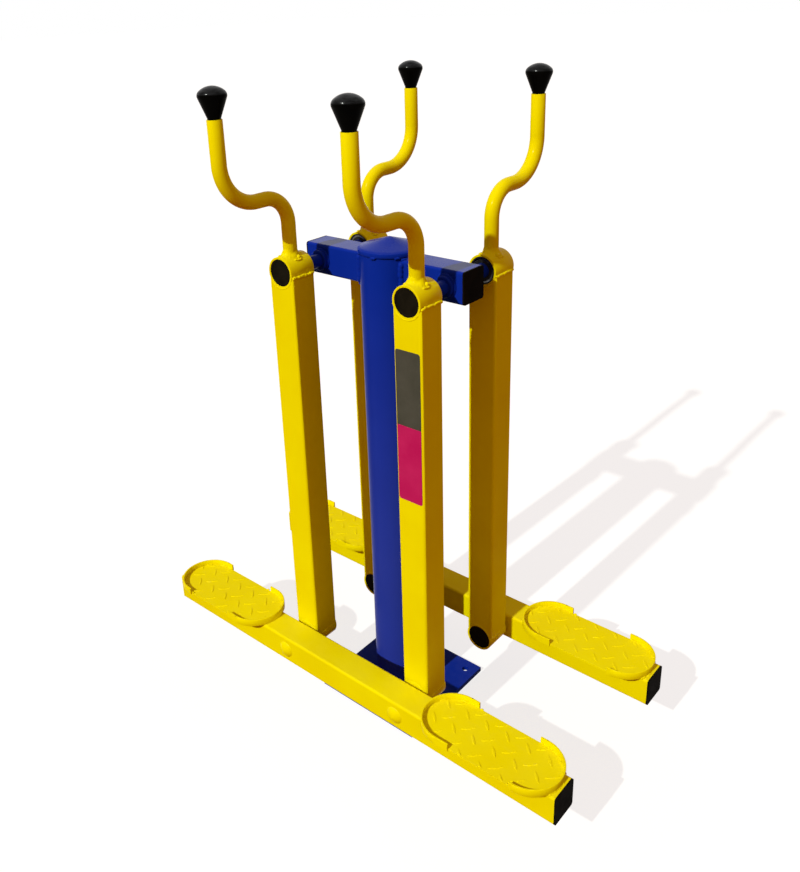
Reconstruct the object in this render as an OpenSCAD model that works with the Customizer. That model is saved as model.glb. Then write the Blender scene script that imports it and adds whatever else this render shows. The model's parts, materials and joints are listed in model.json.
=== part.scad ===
// Outdoor ski exercise machine. X runs along the foot bars, -Y is the near side and Z is up.
// The origin is the bottom centre of the base plate. Left is -X and right is +X.

/* [Base] */
// Side of the square base plate
plate_w = 250; // [230:5:320]
// Thickness of the base plate
plate_t = 10; // [6:1:16]
// Distance of the anchor holes' centres from the plate's edges
hole_inset = 25; // [18:1:40]
// Diameter of the anchor holes
hole_d = 14; // [10:1:18]

/* [Column] */
// Outer diameter of the column
column_d = 114; // [95:1:125]
// Wall of the column
column_wall = 4; // [2.5:0.5:8]
// Height of the column above the beam
column_neck = 10; // [6:1:30]
// Rise of the cap's cone
cap_rise = 19; // [8:1:40]
// Depth of the cap's skirt
cap_skirt = 8; // [4:0.5:14]
// Thickness of the cap's sheet
cap_wall = 2.5; // [1.5:0.5:3.5]

/* [Square tube] */
// Width of the square tube in the beam, the arms and the foot bars
box_w = 60; // [54:1:66]
// Wall of the square tube
box_wall = 3; // [2:0.5:4]
// Outer corner radius of the square tube
box_corner = 5; // [4.5:0.5:9]
// Thickness of the flange of a tube end cap
end_cap_t = 3; // [2:0.5:6]
// Depth that a tube end cap reaches into its tube
end_cap_depth = 14; // [8:1:16]
// Wall of a tube end cap's insert
end_cap_wall = 2.5; // [1.5:0.5:4]

/* [Linkage] */
// Height of the upper pivots above the ground
pivot_h = 958; // [920:2:1040]
// Distance from the upper to the lower pivots
arm_pitch = 822; // [760:2:840]
// Distance between the left and right pivots
pivot_pitch = 300; // [290:2:308]
// Length of the beam without its end caps
beam_l = 370; // [364:2:420]
// Clear distance between the beam and an arm
arm_gap = 50; // [42:1:70]
// Clear distance between an arm and its foot bar
bar_gap = 7; // [5:0.5:16]

/* [Pivots] */
// Length of a pivot hub
hub_l = 60; // [58:1:80]
// Wall of a pivot hub
hub_wall = 4; // [3:0.5:5]
// Diameter of a pivot shaft beside its bearings
shaft_d = 28; // [24:0.5:30]
// Diameter of a shaft journal inside its bearings
journal_d = 20; // [17:0.5:21]
// Diameter of the threaded end of a shaft
thread_d = 14; // [10:0.5:15]
// Wall of the moulded sleeve round the bearings
sleeve_t = 2.5; // [2:0.5:4]
// Width of a bearing
bearing_w = 14; // [11:0.5:15]
// Radial thickness of a bearing's rings
ring_t = 3.5; // [2.5:0.25:4]
// Thickness of a bearing seal
seal_t = 1.2; // [0.8:0.1:2]
// Depth of the first bearing behind the open end of its hub
bearing_inset = 2; // [1:0.5:4]
// Length of the spacer between a hub's two bearings
spacer_l = 14; // [8:1:15]
// Diameter of the collar that joins a shaft to the beam
collar_d = 40; // [34:1:48]
// Length of the collar that joins a shaft to the beam
collar_l = 10; // [6:1:20]
// Diameter of a shaft nut's flange
nut_flange_d = 30; // [26:1:34]
// Thickness of a shaft nut's flange
nut_flange_t = 2.5; // [1.5:0.5:3]
// Height of a shaft nut above its flange
nut_h = 6; // [4:0.5:6.5]
// Width of a shaft nut across its flats
nut_flats = 21; // [19:0.5:24]
// Thickness of a hub plug's face
plug_t = 4; // [2.5:0.5:4.5]
// Depth of a hub plug's face behind the end of its hub
plug_recess = 1; // [0.5:0.5:1.5]
// Depth of a hub plug's skirt behind its face
plug_skirt = 6; // [3:0.5:7]
// Thickness of a hub plug's skirt
plug_skirt_t = 2; // [1.5:0.25:3]

/* [Foot bars] */
// Length of a foot bar without its end caps
bar_l = 1000; // [990:10:1160]
// Diameter of the domed head on a pivot pin
pin_head_d = 36; // [31:1:44]
// Height of the domed head on a pivot pin
pin_head_h = 7; // [5:0.5:12]

/* [Pedals] */
// Distance of a tread plate from the end of its foot bar
pedal_inset = 8; // [4:0.5:12]
// Overall length of a tread plate
tread_l = 280; // [240:2:284]
// Width of a tread plate
tread_w = 116; // [100:1:122]
// Thickness of a tread plate
tread_t = 4; // [3:0.5:6]
// Pitch of the raised bars on a tread plate
tread_pitch = 44; // [36:1:56]
// Length of a raised bar
lug_l = 26; // [18:1:30]
// Width of a raised bar
lug_w = 4; // [3:0.5:8]
// Height of a raised bar
lug_h = 1.2; // [0.8:0.1:2.5]
// Height of the rim strips above the foot bar
rim_h = 16; // [12:1:20]
// Thickness of the rim strips
rim_t = 3.5; // [2:0.5:4]
// Straight run, past its bend, of the inner rim strip's -Y side
rim_inner_near_run = 30; // [8:1:34]
// Straight run, past its bend, of the inner rim strip's +Y side
rim_inner_far_run = 18; // [8:1:34]
// Straight run, past its bend, of the outer rim strip's -Y side
rim_outer_near_run = 6; // [4:1:34]
// Straight run, past its bend, of the outer rim strip's +Y side
rim_outer_far_run = 14; // [4:1:34]

/* [Handlebars] */
// Diameter of the handlebar tube
handle_d = 27; // [22:0.5:34]
// Wall of the handlebar tube
handle_wall = 2.5; // [1.5:0.25:4]
// Height of the first bend above the upper pivot
handle_rise = 90; // [70:1:100]
// Radius of the lower quarter bend along the tube's centre
low_bend_r = 53; // [40:1:62]
// Radius of the upper quarter bend along the tube's centre
top_bend_r = 76; // [50:1:84]
// Straight length between the bends
handle_run = 20; // [12:1:60]
// Height of the tube's top above the upper pivot
handle_top = 294; // [270:1:340]
// Largest diameter of a handle knob
knob_d = 50; // [42:1:60]
// Height of a handle knob
knob_h = 54; // [44:1:70]
// Diameter of a handle knob's neck
neck_d = 23; // [18:0.5:26]
// Depth of a handle knob's stem inside the tube
stem_l = 24; // [12:1:40]

/* [Hidden] */
$fn = 72;
// Node to build, or "all"

// Signs of the two sides and of the two ends
near = -1;
far = 1;
left = -1;
right = 1;

// Colours of the painted and bare pieces
frame_blue = "#1a2a8c";
arm_yellow = "#f2de00";
plastic_black = "#161616";
bearing_steel = "#b9bcc0";

// Overrun of every cut past the face it opens
over = 1;
// Clearance of pieces that slip into a tube or over an end
slip = 0.3;
// Radial clearance of a journal in its bearing
run_fit = 0.05;
// Axial play between a turning hub and its shaft
axial_play = 0.3;
// Fit between the pieces of one bearing stack
film = 0.05;

// Spacing of the anchor holes, centre to centre
hole_pitch = plate_w - 2 * hole_inset;

// Pivot hub, shared by all four arms
hub_d = box_w;
hub_bore = hub_d - 2 * hub_wall;
bearing_d = hub_bore - 2 * sleeve_t;
arm_y = box_w / 2 + arm_gap + hub_l / 2;
bar_y = arm_y + hub_l / 2 + bar_gap + box_w / 2;
low_h = pivot_h - arm_pitch;
// Height that an arm tube's walls stop short of the hub's axis, where the weld runs
cope_land = box_w / 12;

// Places along a hub, from its open end inwards
second_bearing = bearing_inset + bearing_w + spacer_l;
stack_end = second_bearing + bearing_w;
sleeve_end = stack_end + nut_flange_t;
nut_start = stack_end + axial_play;
nut_end = nut_start + nut_flange_t + nut_h;
thread_end = nut_end + axial_play;
shaft_step = bearing_inset - axial_play;
// Bore of an inner ring, and the two diameters between which the balls and seals lie
running_bore = journal_d + 2 * run_fit;
groove_in = running_bore + 2 * ring_t;
groove_out = bearing_d - 2 * ring_t;
// Recess of the sleeve and of the seals behind the faces next to them
sleeve_recess = bearing_inset / 4;
seal_recess = seal_t / 4;
// Thickness of the dish pressed in a hub plug's face
plug_dish = plug_t / 5;
plug_dish_r = hub_bore / 2 - 2 * plug_skirt_t;
// Chamfer of a shaft collar and of a nut's flange
collar_chamfer = collar_l / 5;

// Column and its cap
column_r = column_d / 2;
column_top = pivot_h + box_w / 2 + column_neck;
cap_r = column_r + slip + cap_wall;

// Domed head of a pivot pin, as the radius of its sphere
head_sphere_r = (pow(pin_head_d / 2, 2) + pow(pin_head_h, 2)) / (2 * pin_head_h);

// Tread plate and its rim
bar_top = low_h + box_w / 2;
tread_r = tread_w / 2;
tread_half = (tread_l - tread_w) / 2;
pedal_x = bar_l / 2 - pedal_inset - tread_l / 2;
rim_r = tread_r + rim_t;
// Strip of tread plate at its edge that has no raised bars
tread_margin = lug_w / 2;
// Radius of the two arcs that bound a raised bar
lug_arc = (pow(lug_l / 2, 2) + pow(lug_w / 2, 2)) / lug_w;
// Place of a raised bar on the near left, near right, far left and far right treads, as shares of the pitch
lug_shares = [[-0.1, 0.56], [0.35, -0.29], [0.3, 0.1], [-0.12, 0.15]];
// Step from there to a raised bar of the other direction, as shares of the pitch
lug_step_share = [0.48, 0.38];
lug_count = ceil(tread_l / tread_pitch);

// Handlebar path
handle_out = low_bend_r + handle_run + top_bend_r;
run_h = handle_rise + low_bend_r;
grip_start = run_h + top_bend_r;

// Knob profile: a rounded rim, a dome tangent to it and a flare down to the neck
knob_rim_r_share = 0.2;
knob_rim_h_share = 0.71;
knob_rim_r = knob_rim_r_share * knob_d;
knob_rim_x = knob_d / 2 - knob_rim_r;
knob_rim_z = knob_rim_h_share * knob_h;
knob_drop = knob_h - knob_rim_z;
dome_r = (pow(knob_rim_x, 2) + pow(knob_drop, 2) - pow(knob_rim_r, 2)) / (2 * (knob_drop - knob_rim_r));
neck_h = knob_h / 30;
flare_angle = 22;
seam_depth = knob_d / 80;

// Moves an arm's pieces from the hub's own frame, with +Y away from the column
module at_upper_pivot(side, end) {
    translate([end * pivot_pitch / 2, 0, pivot_h])
        to_side(side)
            translate([0, arm_y, 0])
                children();
}

module at_lower_pivot(side, end) {
    translate([0, 0, -arm_pitch])
        at_upper_pivot(side, end)
            children();
}

module to_side(side) {
    if (side < 0)
        mirror([0, 1, 0])
            children();
    else
        children();
}

// Turns the Z axis to +Y or, with away false, to -Y
module along_y(away = true) {
    rotate([away ? -90 : 90, 0, 0])
        children();
}

// Stands on a hub's open end and looks into it: an upper hub is open towards the column
module into_upper_hub() {
    translate([0, -hub_l / 2, 0])
        along_y()
            children();
}

// A lower hub is open towards the foot bar
module into_lower_hub() {
    translate([0, hub_l / 2, 0])
        along_y(false)
            children();
}

module ring(outer_d, inner_d, h) {
    difference() {
        cylinder(d = outer_d, h = h);
        translate([0, 0, -over])
            cylinder(d = inner_d, h = h + 2 * over);
    }
}

module rounded_square(w, r) {
    square([w - 2 * r, w], center = true);
    square([w, w - 2 * r], center = true);
    for (x = [-1, 1], y = [-1, 1])
        translate([x * (w / 2 - r), y * (w / 2 - r)])
            circle(r = r);
}

module box_section() {
    difference() {
        rounded_square(box_w, box_corner);
        rounded_square(box_w - 2 * box_wall, box_corner - box_wall);
    }
}

// Square tube along +X from the origin
module box_tube(length) {
    rotate([90, 0, 90])
        linear_extrude(length)
            box_section();
}

// Moulded plug for the end of a square tube, its flange seated on the plane X = 0
module end_cap() {
    insert_w = box_w - 2 * box_wall - 2 * slip;
    insert_r = box_corner - box_wall;
    color(plastic_black)
        rotate([90, 0, 90]) {
            linear_extrude(end_cap_t)
                rounded_square(box_w, box_corner);
            translate([0, 0, -end_cap_depth])
                linear_extrude(end_cap_depth + end_cap_t / 2)
                    difference() {
                        rounded_square(insert_w, insert_r);
                        square(insert_w - 2 * end_cap_wall, center = true);
                    }
        }
}

module base_plate() {
    color(frame_blue)
        difference() {
            translate([-plate_w / 2, -plate_w / 2, 0])
                cube([plate_w, plate_w, plate_t]);
            for (x = [-1, 1], y = [-1, 1])
                translate([x * hole_pitch / 2, y * hole_pitch / 2, -over])
                    cylinder(d = hole_d, h = plate_t + 2 * over);
        }
}

module column() {
    color(frame_blue)
        translate([0, 0, plate_t])
            ring(column_d, column_d - 2 * column_wall, column_top - plate_t);
}

// Pressed conical cap, resting on the column's rim
module column_cap() {
    seat_r = column_r - column_wall;
    skirt_r = cap_r - cap_wall;
    color(frame_blue)
        translate([0, 0, column_top + cap_wall])
            rotate_extrude()
                polygon([
                    [0, cap_rise], [cap_r, 0], [cap_r, -cap_skirt],
                    [skirt_r, -cap_skirt], [skirt_r, -cap_wall],
                    [seat_r, -cap_wall], [0, cap_rise - cap_wall]
                ]);
}

// One half of the beam, coped to the column and bored for a pivot shaft
module beam(end) {
    color(frame_blue)
        translate([0, 0, pivot_h])
            mirror([end < 0 ? 1 : 0, 0, 0])
                difference() {
                    box_tube(beam_l / 2);
                    translate([0, 0, -box_w])
                        cylinder(r = column_r, h = 2 * box_w);
                    translate([pivot_pitch / 2, -box_w, 0])
                        along_y()
                            cylinder(d = shaft_d, h = 2 * box_w);
                }
}

module beam_end_caps() {
    for (end = [left, right])
        translate([end * beam_l / 2, 0, pivot_h])
            rotate([0, 0, end < 0 ? 180 : 0])
                end_cap();
}

// Journal and thread of a shaft, from a hub's open end inwards
module shaft_end() {
    cylinder(d = journal_d, h = stack_end - axial_play);
    cylinder(d = thread_d, h = thread_end);
}

// Shaft that runs through the beam and carries a near and a far arm
module pivot_shaft(end) {
    half_l = box_w / 2 + arm_gap + shaft_step;
    color(frame_blue)
        translate([end * pivot_pitch / 2, -half_l, pivot_h])
            along_y()
                cylinder(d = shaft_d, h = 2 * half_l);
    color(bearing_steel)
        for (side = [near, far])
            at_upper_pivot(side, end)
                into_upper_hub()
                    shaft_end();
}

module shaft_collars() {
    color(frame_blue)
        for (side = [near, far], end = [left, right])
            translate([end * pivot_pitch / 2, side * box_w / 2, pivot_h])
                along_y(side > 0)
                    rotate_extrude()
                        polygon([
                            [shaft_d / 2, 0], [collar_d / 2, 0],
                            [collar_d / 2, collar_l - collar_chamfer],
                            [collar_d / 2 - collar_chamfer, collar_l],
                            [shaft_d / 2, collar_l]
                        ]);
}

// Flanged nut that closes a shaft's bearing stack
module flange_nut() {
    color(bearing_steel)
        translate([0, 0, nut_start])
            difference() {
                union() {
                    cylinder(d = nut_flange_d, h = nut_flange_t);
                    cylinder(d = nut_flats / cos(30), h = nut_flange_t + nut_h, $fn = 6);
                }
                translate([0, 0, -over])
                    cylinder(d = thread_d, h = nut_end + 2 * over);
            }
}

module shaft_nuts() {
    for (side = [near, far], end = [left, right])
        at_upper_pivot(side, end)
            into_upper_hub()
                flange_nut();
}

// Square tube coped to its two hubs
module arm_tube(side, end) {
    color(arm_yellow)
        at_lower_pivot(side, end)
            difference() {
                translate([0, 0, cope_land])
                    linear_extrude(arm_pitch - 2 * cope_land)
                        box_section();
                for (z = [0, arm_pitch])
                    translate([0, -hub_l, z])
                        along_y()
                            cylinder(d = hub_d, h = 2 * hub_l);
            }
}

module hub() {
    color(arm_yellow)
        translate([0, -hub_l / 2, 0])
            along_y()
                ring(hub_d, hub_bore, hub_l);
}

module upper_hub(side, end) {
    at_upper_pivot(side, end)
        hub();
}

module lower_hub(side, end) {
    at_lower_pivot(side, end)
        hub();
}

// Moulded plug in the closed end of a hub, measured from the open end
module hub_plug() {
    face = hub_l - plug_recess;
    bore_r = hub_bore / 2;
    color(plastic_black)
        rotate_extrude()
            polygon([
                [0, face - plug_dish], [plug_dish_r - plug_dish, face - plug_dish],
                [plug_dish_r, face], [bore_r, face],
                [bore_r, face - plug_t - plug_skirt],
                [bore_r - plug_skirt_t, face - plug_t - plug_skirt],
                [bore_r - plug_skirt_t, face - plug_t], [0, face - plug_t]
            ]);
}

module hub_plugs(side, end) {
    at_upper_pivot(side, end)
        into_upper_hub()
            hub_plug();
    at_lower_pivot(side, end)
        into_lower_hub()
            hub_plug();
}

// Outer and inner ring of a ball bearing
module bearing_rings() {
    ring(bearing_d, groove_out, bearing_w);
    ring(groove_in, running_bore, bearing_w);
}

// Two bearings and the spacer tube between their inner rings
module bearing_stack() {
    for (z = [bearing_inset, second_bearing])
        translate([0, 0, z])
            bearing_rings();
    translate([0, 0, bearing_inset + bearing_w + film])
        ring(groove_in, running_bore, spacer_l - 2 * film);
}

// Moulded sleeve round the two bearings, with a rib that keeps them apart, and their four seals
module seal_stack() {
    seat_d = bearing_d + 2 * film;
    difference() {
        translate([0, 0, sleeve_recess])
            cylinder(d = hub_bore, h = sleeve_end - sleeve_recess);
        translate([0, 0, -over])
            cylinder(d = groove_out, h = sleeve_end + 2 * over);
        translate([0, 0, -over])
            cylinder(d = seat_d, h = bearing_inset + bearing_w + film + over);
        translate([0, 0, second_bearing - film])
            cylinder(d = seat_d, h = sleeve_end);
    }
    for (bearing_z = [bearing_inset, second_bearing], z = [seal_recess, bearing_w - seal_recess - seal_t])
        translate([0, 0, bearing_z + z])
            ring(groove_out - 2 * film, groove_in + 2 * film, seal_t);
}

module bearings(side, end) {
    color(bearing_steel) {
        at_upper_pivot(side, end)
            into_upper_hub()
                bearing_stack();
        at_lower_pivot(side, end)
            into_lower_hub()
                bearing_stack();
    }
}

module bearing_seals(side, end) {
    color(plastic_black) {
        at_upper_pivot(side, end)
            into_upper_hub()
                seal_stack();
        at_lower_pivot(side, end)
            into_lower_hub()
                seal_stack();
    }
}

// Quarter of a bent rod in the YZ plane, round the origin from +Y to +Z
module quarter_bend(d, r) {
    rotate([90, 0, 90])
        rotate_extrude(angle = 90)
            translate([r, 0])
                circle(d = d);
}

// Rod along the handlebar's path, lengthened at both ends
module handle_rod(d, extra) {
    translate([0, 0, -extra])
        cylinder(d = d, h = handle_rise + extra);
    translate([0, low_bend_r, handle_rise])
        mirror([0, 1, 0])
            quarter_bend(d, low_bend_r);
    translate([0, low_bend_r, run_h])
        along_y()
            cylinder(d = d, h = handle_run);
    translate([0, low_bend_r + handle_run, grip_start])
        mirror([0, 0, 1])
            quarter_bend(d, top_bend_r);
    translate([0, handle_out, grip_start])
        cylinder(d = d, h = handle_top - grip_start + extra);
}

// Tube bent outwards and up again in an S, coped to the top of its hub
module handlebar(side, end) {
    color(arm_yellow)
        at_upper_pivot(side, end)
            difference() {
                handle_rod(handle_d, 0);
                handle_rod(handle_d - 2 * handle_wall, over);
                translate([0, -hub_l, 0])
                    along_y()
                        cylinder(d = hub_d, h = 2 * hub_l);
            }
}

// Half section of a knob, its neck standing on the height 0
module knob_profile() {
    flare = [
        knob_rim_x + knob_rim_r * cos(flare_angle),
        knob_rim_z - knob_rim_r * sin(flare_angle)
    ];
    dome_z = knob_h - dome_r;
    tangent = knob_rim_r / (dome_r - knob_rim_r);
    touch = [
        knob_rim_x * (1 + tangent),
        knob_rim_z + (knob_rim_z - dome_z) * tangent
    ];
    polygon([
        [0, 0], [neck_d / 2, 0], [neck_d / 2, neck_h], flare,
        [knob_rim_x, knob_rim_z], touch, [0, touch[1]]
    ]);
    translate([knob_rim_x, knob_rim_z])
        circle(r = knob_rim_r);
    intersection() {
        translate([0, dome_z])
            circle(r = dome_r);
        translate([0, touch[1] - over])
            square([touch[0], knob_h]);
        polygon([[0, dome_z], touch * 2 - [0, dome_z], [0, 2 * knob_h]]);
    }
}

module knob(side, end) {
    stem_r = handle_d / 2 - handle_wall - slip;
    color(plastic_black)
        at_upper_pivot(side, end)
            translate([0, handle_out, handle_top]) {
                difference() {
                    rotate_extrude()
                        knob_profile();
                    translate([0, 0, knob_rim_z - seam_depth / 2])
                        ring(knob_d + 2 * over, knob_d - 2 * seam_depth, seam_depth);
                }
                translate([0, 0, -stem_l])
                    cylinder(r = stem_r, h = stem_l + neck_h);
            }
}

// Moves a foot bar's pieces from the frame at its centre, with +Y away from the column
module at_bar(side) {
    translate([0, 0, low_h])
        to_side(side)
            translate([0, bar_y, 0])
                children();
}

module foot_bar(side) {
    color(arm_yellow)
        at_bar(side)
            difference() {
                translate([-bar_l / 2, 0, 0])
                    box_tube(bar_l);
                for (end = [left, right])
                    translate([end * pivot_pitch / 2, -box_w, 0])
                        along_y()
                            cylinder(d = shaft_d, h = 2 * box_w);
            }
}

module bar_end_caps(side) {
    at_bar(side)
        for (end = [left, right])
            translate([end * bar_l / 2, 0, 0])
                rotate([0, 0, end < 0 ? 180 : 0])
                    end_cap();
}

// Pins that pass through the foot bar into the lower hubs, with domed heads outside
module pivot_pins(side) {
    shank_l = box_w + bar_gap + shaft_step;
    for (end = [left, right])
        at_lower_pivot(side, end) {
            color(arm_yellow)
                translate([0, hub_l / 2 - shaft_step, 0])
                    along_y() {
                        cylinder(d = shaft_d, h = shank_l);
                        translate([0, 0, shank_l])
                            pin_head();
                    }
            color(bearing_steel)
                into_lower_hub()
                    shaft_end();
        }
}

module pin_head() {
    intersection() {
        translate([0, 0, pin_head_h - head_sphere_r])
            sphere(r = head_sphere_r);
        cylinder(d = pin_head_d + over, h = pin_head_h + over);
    }
}

module pin_nuts(side) {
    for (end = [left, right])
        at_lower_pivot(side, end)
            into_lower_hub()
                flange_nut();
}

// Places a pedal on its foot bar, with +X towards the bar's end and Z = 0 on the bar's top
module at_pedal(side, end) {
    at_bar(side)
        mirror([end < 0 ? 1 : 0, 0, 0])
            translate([pedal_x, 0, box_w / 2])
                children();
}

module stadium(r) {
    square([2 * tread_half, 2 * r], center = true);
    for (x = [-1, 1])
        translate([x * tread_half, 0])
            circle(r = r);
}

// Raised bar with pointed ends, lying along X
module lug() {
    intersection() {
        translate([0, lug_arc - lug_w / 2])
            circle(r = lug_arc);
        translate([0, lug_w / 2 - lug_arc])
            circle(r = lug_arc);
    }
}

module lug_rows(first_share, angle) {
    first = first_share * tread_pitch;
    for (i = [-lug_count:lug_count], j = [-lug_count:lug_count])
        translate([first[0] + i * tread_pitch, first[1] + j * tread_pitch])
            rotate(angle)
                if (abs(first[0] + i * tread_pitch) < tread_l / 2 && abs(first[1] + j * tread_pitch) < tread_w / 2)
                    lug();
}

// Undoes the mirroring of at_pedal for a flat shape
module as_laid(side, end) {
    mirror([end < 0 ? 1 : 0, 0])
        mirror([0, side < 0 ? 1 : 0])
            children();
}

// Stadium-shaped plate with raised bars in two directions
module tread(side, end) {
    first_share = lug_shares[side + 1 + (end + 1) / 2];
    color(arm_yellow)
        at_pedal(side, end) {
            linear_extrude(tread_t)
                stadium(tread_r);
            linear_extrude(tread_t + lug_h)
                intersection() {
                    stadium(tread_r - tread_margin);
                    as_laid(side, end) {
                        lug_rows(first_share, -45);
                        lug_rows(first_share + lug_step_share, 45);
                    }
                }
        }
}

// Gap between the rim strips on one side of a tread plate, up to its middle
module rim_gap(inner_run, outer_run) {
    translate([inner_run - tread_half, 0])
        square([2 * tread_half - inner_run - outer_run, tread_l]);
}

// Strips bent round the two ends of a tread plate
module rims(side, end) {
    color(arm_yellow)
        at_pedal(side, end)
            linear_extrude(rim_h)
                difference() {
                    stadium(rim_r);
                    stadium(tread_r);
                    mirror([0, side < 0 ? 1 : 0]) {
                        mirror([0, 1])
                            rim_gap(rim_inner_near_run, rim_outer_near_run);
                        rim_gap(rim_inner_far_run, rim_outer_far_run);
                    }
                }
}

base_plate();
column();
column_cap();
beam(left);  // beam_left
beam(right);  // beam_right
beam_end_caps();
pivot_shaft(left);  // left_pivot_shaft
pivot_shaft(right);  // right_pivot_shaft
shaft_collars();
shaft_nuts();
arm_tube(near, left);  // near_left_arm_tube
upper_hub(near, left);  // near_left_upper_hub
lower_hub(near, left);  // near_left_lower_hub
handlebar(near, left);  // near_left_handlebar
knob(near, left);  // near_left_knob
hub_plugs(near, left);  // near_left_hub_plugs
bearings(near, left);  // near_left_bearings
bearing_seals(near, left);  // near_left_bearing_seals
arm_tube(near, right);  // near_right_arm_tube
upper_hub(near, right);  // near_right_upper_hub
lower_hub(near, right);  // near_right_lower_hub
handlebar(near, right);  // near_right_handlebar
knob(near, right);  // near_right_knob
hub_plugs(near, right);  // near_right_hub_plugs
bearings(near, right);  // near_right_bearings
bearing_seals(near, right);  // near_right_bearing_seals
arm_tube(far, left);  // far_left_arm_tube
upper_hub(far, left);  // far_left_upper_hub
lower_hub(far, left);  // far_left_lower_hub
handlebar(far, left);  // far_left_handlebar
knob(far, left);  // far_left_knob
hub_plugs(far, left);  // far_left_hub_plugs
bearings(far, left);  // far_left_bearings
bearing_seals(far, left);  // far_left_bearing_seals
arm_tube(far, right);  // far_right_arm_tube
upper_hub(far, right);  // far_right_upper_hub
lower_hub(far, right);  // far_right_lower_hub
handlebar(far, right);  // far_right_handlebar
knob(far, right);  // far_right_knob
hub_plugs(far, right);  // far_right_hub_plugs
bearings(far, right);  // far_right_bearings
bearing_seals(far, right);  // far_right_bearing_seals
foot_bar(near);  // near_foot_bar
bar_end_caps(near);  // near_bar_end_caps
tread(near, left);  // near_left_tread
tread(near, right);  // near_right_tread
rims(near, left);  // near_left_rims
rims(near, right);  // near_right_rims
pivot_pins(near);  // near_pivot_pins
pin_nuts(near);  // near_pin_nuts
foot_bar(far);  // far_foot_bar
bar_end_caps(far);  // far_bar_end_caps
tread(far, left);  // far_left_tread
tread(far, right);  // far_right_tread
rims(far, left);  // far_left_rims
rims(far, right);  // far_right_rims
pivot_pins(far);  // far_pivot_pins
pin_nuts(far);  // far_pin_nuts
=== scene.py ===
import json
import math
import random

import bmesh
import bpy
from mathutils import Matrix, Vector


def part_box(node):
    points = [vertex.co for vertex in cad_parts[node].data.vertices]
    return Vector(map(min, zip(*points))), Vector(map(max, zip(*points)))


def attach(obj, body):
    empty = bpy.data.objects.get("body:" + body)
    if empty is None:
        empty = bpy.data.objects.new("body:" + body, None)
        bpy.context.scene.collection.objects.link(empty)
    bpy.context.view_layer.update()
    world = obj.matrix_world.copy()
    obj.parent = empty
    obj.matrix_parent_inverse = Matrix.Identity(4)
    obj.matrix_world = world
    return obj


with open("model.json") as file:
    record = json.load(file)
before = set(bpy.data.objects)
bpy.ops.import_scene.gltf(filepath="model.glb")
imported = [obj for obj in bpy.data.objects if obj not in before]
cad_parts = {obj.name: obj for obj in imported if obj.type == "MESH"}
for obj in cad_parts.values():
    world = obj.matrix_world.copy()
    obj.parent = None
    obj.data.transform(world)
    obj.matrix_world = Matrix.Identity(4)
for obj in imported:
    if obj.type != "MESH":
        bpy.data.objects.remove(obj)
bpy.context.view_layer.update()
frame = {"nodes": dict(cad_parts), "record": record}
nodes = frame["nodes"]
slot_of = {s["node"]: s["material_slot"] for s in frame["record"]["subparts"]}


# ---------------------------------------------------------------- node graphs

class Graph:
    """The node tree of one material or world. Most calls add a node and return its output."""

    def __init__(self, owner):
        owner.use_nodes = True
        self.tree = owner.node_tree
        self.tree.nodes.clear()
        self.places = self.add("TexCoord").outputs
        self.coord = self.places["Object"]

    def add(self, kind, values=None, **props):
        """A new node. values fills its inputs, each with a constant or with another's output."""
        node = self.tree.nodes.new("ShaderNode" + kind)
        for key, value in props.items():
            setattr(node, key, value)
        for key, value in (values or {}).items():
            if isinstance(value, bpy.types.NodeSocket):
                self.tree.links.new(value, node.inputs[key])
            else:
                node.inputs[key].default_value = value
        return node

    def noise(self, scale, detail=2.0, rough=0.5, vector=None, distortion=0.0):
        values = {"Vector": vector or self.coord, "Scale": scale, "Detail": detail,
                  "Roughness": rough, "Distortion": distortion}
        return self.add("TexNoise", values).outputs["Fac"]

    def streaks(self, scale, turn=(0, 0, 0), detail=3.0, rough=0.6):
        """Noise stretched by its scale along each axis, once turned."""
        values = {"Vector": self.coord, "Scale": scale, "Rotation": turn}
        return self.noise(1.0, detail, rough, self.add("Mapping", values).outputs["Vector"])

    def cells(self, scale):
        values = {"Vector": self.coord, "Scale": scale}
        return self.add("TexVoronoi", values).outputs["Distance"]

    def span(self, value, low, high, to_low=0.0, to_high=1.0):
        """value taken from the range low to high into the range to_low to to_high, clamped."""
        values = {0: value, 1: low, 2: high, 3: to_low, 4: to_high}
        return self.add("MapRange", values).outputs[0]

    def math(self, operation, a, b=0.0):
        return self.add("Math", {0: a, 1: b}, operation=operation).outputs[0]

    def times(self, a, b):
        return self.math("MULTIPLY", a, b)

    def plus(self, a, b):
        return self.math("ADD", a, b)

    def most(self, a, b):
        return self.math("MAXIMUM", a, b)

    def axis(self, vector, name):
        return self.add("SeparateXYZ", {"Vector": vector}).outputs[name]

    def up(self):
        """The height part of the face's normal: 1 on tops, 0 on walls, -1 on undersides."""
        return self.axis(self.add("NewGeometry").outputs["Normal"], "Z")

    def mix(self, factor, a, b):
        values = {0: factor, 6: a, 7: b}
        return self.add("Mix", values, data_type="RGBA", clamp_factor=True).outputs[2]

    def bump(self, height, distance, strength, normal=None):
        values = {"Height": height, "Distance": distance, "Strength": strength}
        if normal is not None:
            values["Normal"] = normal
        return self.add("Bump", values).outputs["Normal"]

    def principled(self, **sockets):
        values = {key.replace("_", " "): value for key, value in sockets.items()}
        self.surface(self.add("BsdfPrincipled", values).outputs["BSDF"])

    def surface(self, shader):
        self.add("OutputMaterial", {"Surface": shader})


def new_graph(name):
    """A new material of that name, and its graph."""
    material = bpy.data.materials.new(name)
    return material, Graph(material)


def rgb(r, g, b):
    return (r, g, b, 1.0)


def settles(g):
    """1 on faces that look up, where dust settles."""
    return g.span(g.up(), 0.55, 0.98)


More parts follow.
